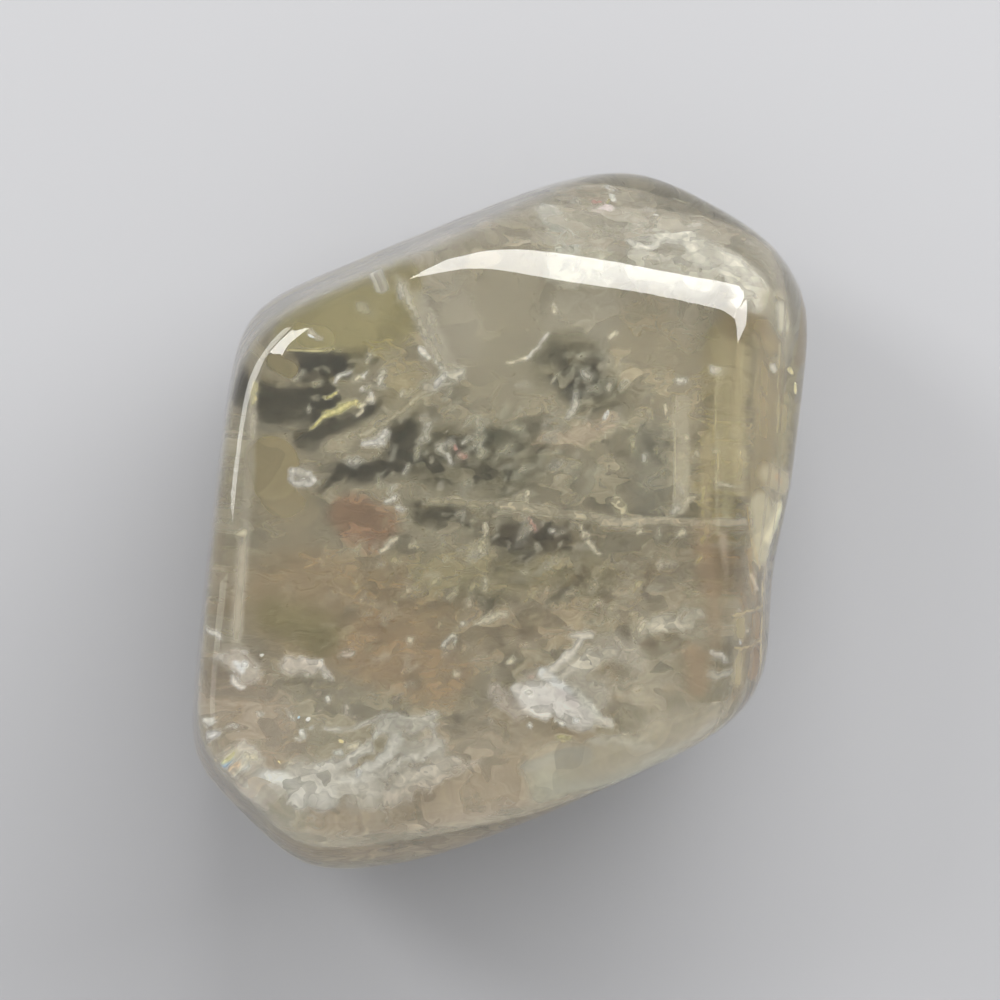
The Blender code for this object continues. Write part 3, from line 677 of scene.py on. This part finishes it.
def clouded_quartz(name, patch, contrast, streak=1.0, turn=0.0, grained=False):
    """Healed cracks in quartz, as grown: tiny bubbles and films in patches of uneven thickness.

    It reads as a matt milky film, here thin and there dense, and palest where it is densest.
    """
    material, tree = new_material(name)
    swing = ragged_patches(tree, patch, streak, turn)
    if grained:
        grain = add_node(tree, "ShaderNodeAttribute", attribute_name="grain")
        swing = add_node(tree, "ShaderNodeMath", {
            0: swing, 1: grain.outputs["Fac"]}, operation="MULTIPLY").outputs[0]
    thickness = add_node(tree, "ShaderNodeMath", {
        0: swing, 1: contrast, 2: 1.0}, operation="MULTIPLY_ADD")
    tint = add_node(tree, "ShaderNodeAttribute", attribute_name="tint")
    alpha = add_node(tree, "ShaderNodeMath", {
        0: tint.outputs["Alpha"], 1: thickness.outputs[0]}, operation="MULTIPLY", use_clamp=True)
    shade = add_node(tree, "ShaderNodeMath", {
        0: swing, 1: PALER_WHERE_DENSE, 2: 1.0}, operation="MULTIPLY_ADD")
    colour = add_node(tree, "ShaderNodeVectorMath", {
        0: tint.outputs["Color"], "Scale": shade.outputs[0]}, operation="SCALE")
    film = add_node(tree, "ShaderNodeBsdfPrincipled", {
        "Base Color": colour.outputs["Vector"], "Alpha": alpha.outputs[0], "Roughness": 0.7,
        "Specular IOR Level": 0.0})
    add_node(tree, "ShaderNodeOutputMaterial", {"Surface": film.outputs[0]})
    return material


def parted_quartz_painted_glint(name, hex_colour):
    """A crack face in quartz, freshly parted, as one small bright plate: its colour is a painted glint."""
    material, tree = new_material(name)
    plate = add_node(tree, "ShaderNodeBsdfPrincipled", {
        "Base Color": (*under_skin(hex_colour, LIT_IN_FRONT), 1), "Roughness": 0.35})
    add_node(tree, "ShaderNodeOutputMaterial", {"Surface": plate.outputs[0]})
    return material


# ---------------------------------------------------------------- the stone's form


def stone_copy(name):
    """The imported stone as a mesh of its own, its loose triangles joined."""
    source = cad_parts[STONE]
    piece = source.copy()
    piece.data = source.data.copy()
    piece.name = name
    piece.parent = None
    for key in list(piece.keys()):
        del piece[key]
    bpy.context.scene.collection.objects.link(piece)
    make_active(piece)
    bpy.ops.object.mode_set(mode="EDIT")
    bpy.ops.mesh.select_all(action="SELECT")
    bpy.ops.mesh.remove_doubles(threshold=MERGE_REACH)
    bpy.ops.object.mode_set(mode="OBJECT")
    return piece


def polished_skin():
    """The outside of the stone: an even mesh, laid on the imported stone's facets and smoothed."""
    piece = stone_copy("skin")
    remesh = piece.modifiers.new("even mesh", "REMESH")
    remesh.mode = "VOXEL"
    remesh.voxel_size = SKIN_VOXEL
    settle = piece.modifiers.new("flat facets", "SHRINKWRAP")
    settle.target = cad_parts[STONE]
    smooth = piece.modifiers.new("polish", "SMOOTH")
    smooth.factor = 0.5
    smooth.iterations = SKIN_SMOOTHING
    apply_modifiers(piece)
    finish_piece(piece, SKIN_NAME, polished_quartz())
    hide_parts(STONE)
    return piece


def inner_block():
    """The stone less a thin wall: what is inside is cut to it."""
    piece = stone_copy("inner_block")
    shrink = piece.modifiers.new("shrink", "DISPLACE")
    shrink.mid_level = 0
    shrink.strength = -WALL_GAP
    apply_modifiers(piece)
    return piece


# ---------------------------------------------------------------- clouds and veils


def flat_sheet(middle, size, cell, tilt):
    """A gridded sheet of that size (mm) at its place, tilted about X and Y."""
    deselect()
    cells = [max(4, round(side / cell)) for side in size]
    middle = Vector(middle) * MM
    bpy.ops.mesh.primitive_grid_add(
        x_subdivisions=cells[0], y_subdivisions=cells[1], size=1, location=middle)
    piece = bpy.context.object
    piece.scale = (size[0] * MM, size[1] * MM, 1)
    bpy.ops.object.transform_apply(location=True, rotation=True, scale=True)
    bpy.ops.object.mode_set(mode="EDIT")
    bpy.ops.mesh.select_all(action="SELECT")
    for angle, axis in zip(tilt, "XY"):  # the operator turns against the right-hand rule
        bpy.ops.transform.rotate(
            value=-math.radians(angle), orient_axis=axis, center_override=middle)
    bpy.ops.object.mode_set(mode="OBJECT")
    return piece


def swell(piece, height, length, seed):
    """Raises and lowers the sheet in slow waves, so that it reads as a grown surface."""
    shift = Vector([seed * step for step in WAVE_SHIFT])
    for vertex in piece.data.vertices:
        vertex.co.z += height * MM * noise.noise(vertex.co / (length * MM) + shift)


def points_of(piece):
    """The places of the piece's vertices, in metres."""
    flat = np.empty(len(piece.data.vertices) * 3)
    piece.data.vertices.foreach_get("co", flat)
    return flat.reshape(-1, 3)


def ragged(points, seed, strength=1.0):
    """Places (mm) pushed about by noise, so that a stroke has a natural edge."""
    out = np.empty((len(points), 2))
    waves = [(length * MM, reach, seed * Vector(axis)) for length, reach, axis in EDGE_WAVES]
    for i, point in enumerate(points):
        push = Vector((0, 0, 0))
        for length, reach, shift in waves:
            push += reach * noise.noise_vector(Vector(point) / length + shift)
        out[i] = (point[0] / MM + strength * push.x, point[1] / MM + strength * push.y)
    return out


def distance_to_path(places, path):
    """How far each place lies from the path, which may be a single point."""
    nearest = np.full(len(places), 1e9)
    corners = [np.array(corner) for corner in path]
    for start, end in zip(corners, corners[1:] or corners):
        run = end - start
        length2 = max(run @ run, 1e-12)
        along = np.clip((places - start) @ run / length2, 0, 1)
        away = np.linalg.norm(places - start - along[:, None] * run, axis=1)
        nearest = np.minimum(nearest, away)
    return nearest


def under_skin(hex_colour, lit):
    """The colour that a film needs inside the stone to be seen as this one from outside.

    The skin keeps most of a film's light in, so a film must be paler than it looks.
    """
    seen = np.array(srgb(hex_colour)[:3])
    return np.minimum(seen / (np.array(lit) + TURNED_BACK * seen), PALEST)


def stroke_weights(places, half_width, softness, path):
    """How fully a stroke covers each place near it, and which places those are."""
    corners = np.array(path)
    margin = half_width + softness
    near = np.flatnonzero(
        ((places > corners.min(axis=0) - margin) & (places < corners.max(axis=0) + margin)).all(axis=1))
    away = distance_to_path(places[near], path)
    weight = np.clip((half_width + softness / 2 - away) / softness, 0, 1)
    return near, weight * weight * (3 - 2 * weight)


def painted(places, base, strokes, lit, gather=False):
    """Colour and density at each place: the strokes are laid over the base in turn.

    A stroke brings the film to its own density, or where films gather it adds to what is there.
    """
    lit = np.outer(1 + LIT_TOWARDS_KEY * places[:, 1], lit)
    tint = under_skin(base[0], lit)
    density = np.full(len(places), float(base[1]))
    for _, hex_colour, stroke_density, half_width, softness, path in strokes:
        near, weight = stroke_weights(places, half_width, softness, path)
        laid = stroke_density * weight
        left = density[near] * (1 - (laid if gather else weight))
        share = laid / np.maximum(laid + left, 1e-6)
        tint[near] += (under_skin(hex_colour, lit[near]) - tint[near]) * share[:, None]
        density[near] = laid + left
    return tint, density


def lay_tint(piece, tint, density):
    """Stores colour and density at each vertex, for the film's material."""
    layer = piece.data.attributes.new("tint", "FLOAT_COLOR", "POINT")
    colours = np.column_stack([tint, density]).astype(np.float32)
    layer.data.foreach_set("color", colours.ravel())


def lay_grain(piece, places):
    """Stores how grainy the cloud is at each vertex, from the strokes of GRAIN."""
    grain = np.full(len(places), GRAIN_BASE)
    for _, value, half_width, softness, path in GRAIN:
        near, weight = stroke_weights(places, half_width, softness, path)
        grain[near] += (value - grain[near]) * weight
    layer = piece.data.attributes.new("grain", "FLOAT", "POINT")
    layer.data.foreach_set("value", grain.astype(np.float32))


def height_over_skin(point):
    """How far a point lies outside the stone; below zero, how far inside."""
    nearest, normal, _, distance = STONE_TREE.find_nearest(point)
    return math.copysign(distance, (point - nearest).dot(normal))


def depth_under_skin(points):
    """How far each point lies from the skin, for points that are inside it."""
    return np.array([STONE_TREE.find_nearest(Vector(point))[3] for point in points])


def whole_width():
    """The width and length (mm) of a sheet that reaches across the stone."""
    low, high = CAD_BOX
    return (high.x - low.x) / MM, (high.y - low.y) / MM


def cloud_layer(name, height, tilt_x, tilt_y, rise, length, strength, seed):
    """One layer of cloud right across the stone, cut to what is inside the skin."""
    piece = flat_sheet((0, 0, height), whole_width(), LAYER_CELL, (tilt_x, tilt_y))
    swell(piece, rise, length, seed)
    wall = piece.modifiers.new("film", "SOLIDIFY")
    wall.thickness = CLOUD_FILM * MM
    cut = piece.modifiers.new("cut to the stone", "BOOLEAN")
    cut.operation = "INTERSECT"
    cut.object = BLOCK
    apply_modifiers(piece)
    points = points_of(piece)
    places = ragged(points, seed)
    tint, density = painted(places, CLOUD_BASE, CLOUDS + hollows(), LIT_INSIDE)
    fade = np.clip((depth_under_skin(points) - WALL_GAP) / RIM_FADE, 0, 1)
    lay_tint(piece, tint, density * strength * (RIM_SHARE + (1 - RIM_SHARE) * fade))
    lay_grain(piece, places)
    return finish_piece(piece, name, CLOUD)


def painted_sheet(middle, size, cell, tilt, rise, edge, strokes, seed):
    """A sheet painted with its strokes and cut away where nothing is painted."""
    piece = flat_sheet(middle, size, cell, tilt)
    swell(piece, rise, VEIL_WAVE, seed)
    places = ragged(points_of(piece), seed, edge)
    tint, density = painted(places, (strokes[0][1], 0.0), strokes, LIT_IN_FRONT, gather=True)
    for i in np.flatnonzero(density > BARE):
        depth = -height_over_skin(piece.data.vertices[i].co) / WALL_GAP
        density[i] *= min(max(depth - VEIL_END, 0), 1)
    lay_tint(piece, tint, density)
    make_active(piece)
    for vertex in piece.data.vertices:
        vertex.select = False
    for polygon in piece.data.polygons:
        polygon.select = all(density[i] < BARE for i in polygon.vertices)
    bpy.ops.object.mode_set(mode="EDIT")
    bpy.ops.mesh.delete(type="FACE")
    bpy.ops.object.mode_set(mode="OBJECT")
    return piece


def thicken(piece):
    """Gives a painted sheet the thickness of a veil's film."""
    wall = piece.modifiers.new("film", "SOLIDIFY")
    wall.thickness = VEIL_FILM * MM
    apply_modifiers(piece)


def veil(name, middle, size, tilt, rise, edge, strokes, seed, material):
    """One veil or healed crack: a thin film with the outline of its strokes."""
    piece = painted_sheet(middle, size, VEIL_CELL, tilt, rise, edge, strokes, seed)
    thicken(piece)
    return finish_piece(piece, name, material)


# ---------------------------------------------------------------- flakes and flecks


def dab(colour, density, x, y, length, width, turn, softness):
    """One short stroke with its middle, size and turn."""
    reach = max(length - width, DAB_SHORTEST_RUN) / 2
    run = (reach * math.cos(math.radians(turn)), reach * math.sin(math.radians(turn)))
    return ("dab", colour, density, width * DAB_HALF_WIDTH, softness,
            [(x - run[0], y - run[1]), (x + run[0], y + run[1])])


def chip(colour, x, y, length, width, turn):
    """One flake, as a dab a little longer than it measures, because its soft ends fade."""
    softness = max(CHIP_LEAST_SOFTNESS, CHIP_SOFTNESS * width)
    return dab(colour, CHIP_DENSITY, x, y, CHIP_STRETCH * length, width, turn, softness)


def scatter(zone, seed):
    """Short strokes strewn over a zone, most of them lying along its grain."""
    draw = random.Random(seed)
    middle, spread, count, colours, density, sizes, turn = zone
    for _ in range(count):
        length = draw.uniform(*sizes)
        yield dab(draw.choice(colours), draw.uniform(*density), draw.gauss(middle[0], spread[0]),
                  draw.gauss(middle[1], spread[1]), length, length * draw.uniform(*STREWN_WIDTH),
                  turn + draw.gauss(0, STREWN_TURN), STREWN_SOFTNESS * length)


def hollows():
    """Small gaps in the clouds, through which the dark of the stone shows."""
    return [stroke for number, zone in enumerate(HOLLOWS)
            for stroke in scatter(zone, number + HOLLOW_SEED)]


def flakes():
    """The flakes and flecks, on one small painted sheet for each level in the stone."""
    levels = {}
    for colour, sheets in CHIPS.items():
        for level, places in sheets.items():
            levels.setdefault(level, []).extend(chip(CHIP_COLOURS[colour], *place) for place in places)
    for number, (height, zone) in enumerate(FLECKS):
        levels.setdefault(height, []).extend(scatter(zone, number + FLECK_SEED))
    sheets = [painted_sheet((0, 0, height - FLAKE_DROP), whole_width(), VEIL_CELL, (0, 0),
                            FLAKE_SWELL, FLAKE_EDGE, strokes, seed=height)
              for height, strokes in sorted(levels.items())]
    deselect()
    for sheet in sheets:
        sheet.select_set(True)
    bpy.context.view_layer.objects.active = sheets[0]
    bpy.ops.object.join()
    thicken(sheets[0])
    return finish_piece(sheets[0], "flakes", FLAKE)


def one_shard():
    """One splinter of parted quartz, 2 units long and thin: modelled once and copied."""
    deselect()
    bpy.ops.mesh.primitive_ico_sphere_add(subdivisions=1, radius=1, location=(0, 0, 0))
    shard = bpy.context.object
    draw = random.Random(SHARD_SEED)
    for vertex in shard.data.vertices:
        vertex.co *= draw.uniform(*SHARD_UNEVEN)
        vertex.co.z *= SHARD_FLATNESS
    return shard


def glints(name, hex_colour, places, seed):
    """The smallest and brightest splinters of one colour, as one piece."""
    draw = random.Random(seed)
    mesh = bmesh.new()
    for x, y, z, length, width, turn in places:
        start = len(mesh.verts)
        mesh.from_mesh(SHARD.data)
        mesh.verts.ensure_lookup_table()
        lean = Euler([math.radians(draw.uniform(*GLINT_LEAN)) for _ in range(2)] + [0])
        place = (Matrix.Translation(Vector((x, y, z)) * MM)
                 @ Matrix.Rotation(math.radians(turn), 4, "Z") @ lean.to_matrix().to_4x4()
                 @ Matrix.Diagonal((length / 2 * MM, width / 2 * MM, width / 2 * MM, 1)))
        for vertex in mesh.verts[start:]:
            vertex.co *= draw.uniform(*GLINT_UNEVEN)
            vertex.co = place @ vertex.co
    data = bpy.data.meshes.new(name)
    mesh.to_mesh(data)
    mesh.free()
    piece = bpy.data.objects.new(name, data)
    bpy.context.scene.collection.objects.link(piece)
    finish_piece(piece, name, parted_quartz_painted_glint("quartz crack face with painted glint, " + name, hex_colour))
    piece.data.shade_flat()
    return piece


# ---------------------------------------------------------------- stage


def floor():
    """Card, pale and matt: it throws soft light back up into the stone."""
    bpy.ops.mesh.primitive_plane_add(size=FLOOR_SIZE, location=(0, 0, -FLOOR_GAP))
    item = bpy.context.object
    item.name = "floor"
    material, tree = new_material("pale card, matt")
    card = add_node(tree, "ShaderNodeBsdfPrincipled", {
        "Base Color": srgb("#9b9b9d"), "Roughness": 0.8})
    add_node(tree, "ShaderNodeOutputMaterial", {"Surface": card.outputs[0]})
    item.data.materials.append(material)


def softbox(name, location, target, width, height, power):
    """A rectangle of even white light, aimed at a point of the stone."""
    light = bpy.data.lights.new(name, "AREA")
    light.shape = "RECTANGLE"
    light.size = width
    light.size_y = height
    light.energy = power
    item = bpy.data.objects.new(name, light)
    bpy.context.scene.collection.objects.link(item)
    item.location = location
    aim = Vector(target) - Vector(location)
    item.rotation_euler = aim.to_track_quat("-Z", "Y").to_euler()


def soft_room():
    """Even white light from all sides."""
    world = bpy.data.worlds.new("soft room")
    bpy.context.scene.world = world
    world.use_nodes = True
    background = world.node_tree.nodes["Background"]
    background.inputs["Color"].default_value = (1, 1, 1, 1)
    background.inputs["Strength"].default_value = ROOM_BRIGHTNESS


def camera():
    """Looks straight down on the front face."""
    lens = bpy.data.cameras.new("camera")
    lens.lens = FOCAL_LENGTH
    lens.sensor_width = SENSOR_WIDTH
    lens.clip_start = 0.01
    item = bpy.data.objects.new("camera", lens)
    bpy.context.scene.collection.objects.link(item)
    item.location = (0, CAMERA_SHIFT, THICKNESS / 2 + CAMERA_RISE)
    item.rotation_euler = (0, 0, 0)
    bpy.context.scene.camera = item


# ---------------------------------------------------------------- making


# The films' materials: patches in millimetres, and how much their density swings.
CLOUD = clouded_quartz("clouded quartz, grown", 0.75, 0.74, streak=1.7, turn=32, grained=True)
LACE = clouded_quartz("laced quartz, healed crack", 0.5, 0.4, streak=1.5, turn=35)
FLAKE = clouded_quartz("flaked quartz, small crack", 0.2, 0.3)
SMOOTH = clouded_quartz("smooth quartz film, healed crack", 3.0, 0.06)
BLOCK = inner_block()
whole = stone_copy("whole")
STONE_TREE = BVHTree.FromPolygons(
    [v.co.copy() for v in whole.data.vertices], [tuple(p.vertices) for p in whole.data.polygons])
bpy.data.objects.remove(whole, do_unlink=True)
for number, (layer, values) in enumerate(LAYERS.items()):
    cloud_layer(layer, *values, seed=number + CLOUD_SEED)
for number, (layer, values) in enumerate(VEILS.items()):
    veil(layer, *values, seed=number + VEIL_SEED, material=LACE)
for number, (layer, values) in enumerate(SMOOTH_VEILS.items()):
    veil(layer, *values, seed=number + SMOOTH_VEIL_SEED, material=SMOOTH)
bpy.data.objects.remove(BLOCK, do_unlink=True)
flakes()
SHARD = one_shard()
for number, (colour, (hex_colour, places)) in enumerate(GLINTS.items()):
    glints(colour + "_glints", hex_colour, places, seed=number + GLINT_SEED)
bpy.data.objects.remove(SHARD, do_unlink=True)
polished_skin()

floor()
soft_room()
for softbox_name, values in SOFTBOXES.items():
    softbox(softbox_name, *values)
camera()
scene = bpy.context.scene
scene.view_settings.view_transform = "Standard"
# Light crosses the skin and many thin films on its way through the stone.
scene.cycles.max_bounces = 8
scene.cycles.transmission_bounces = 8
scene.cycles.transparent_max_bounces = 32
scene.cycles.use_light_tree = False
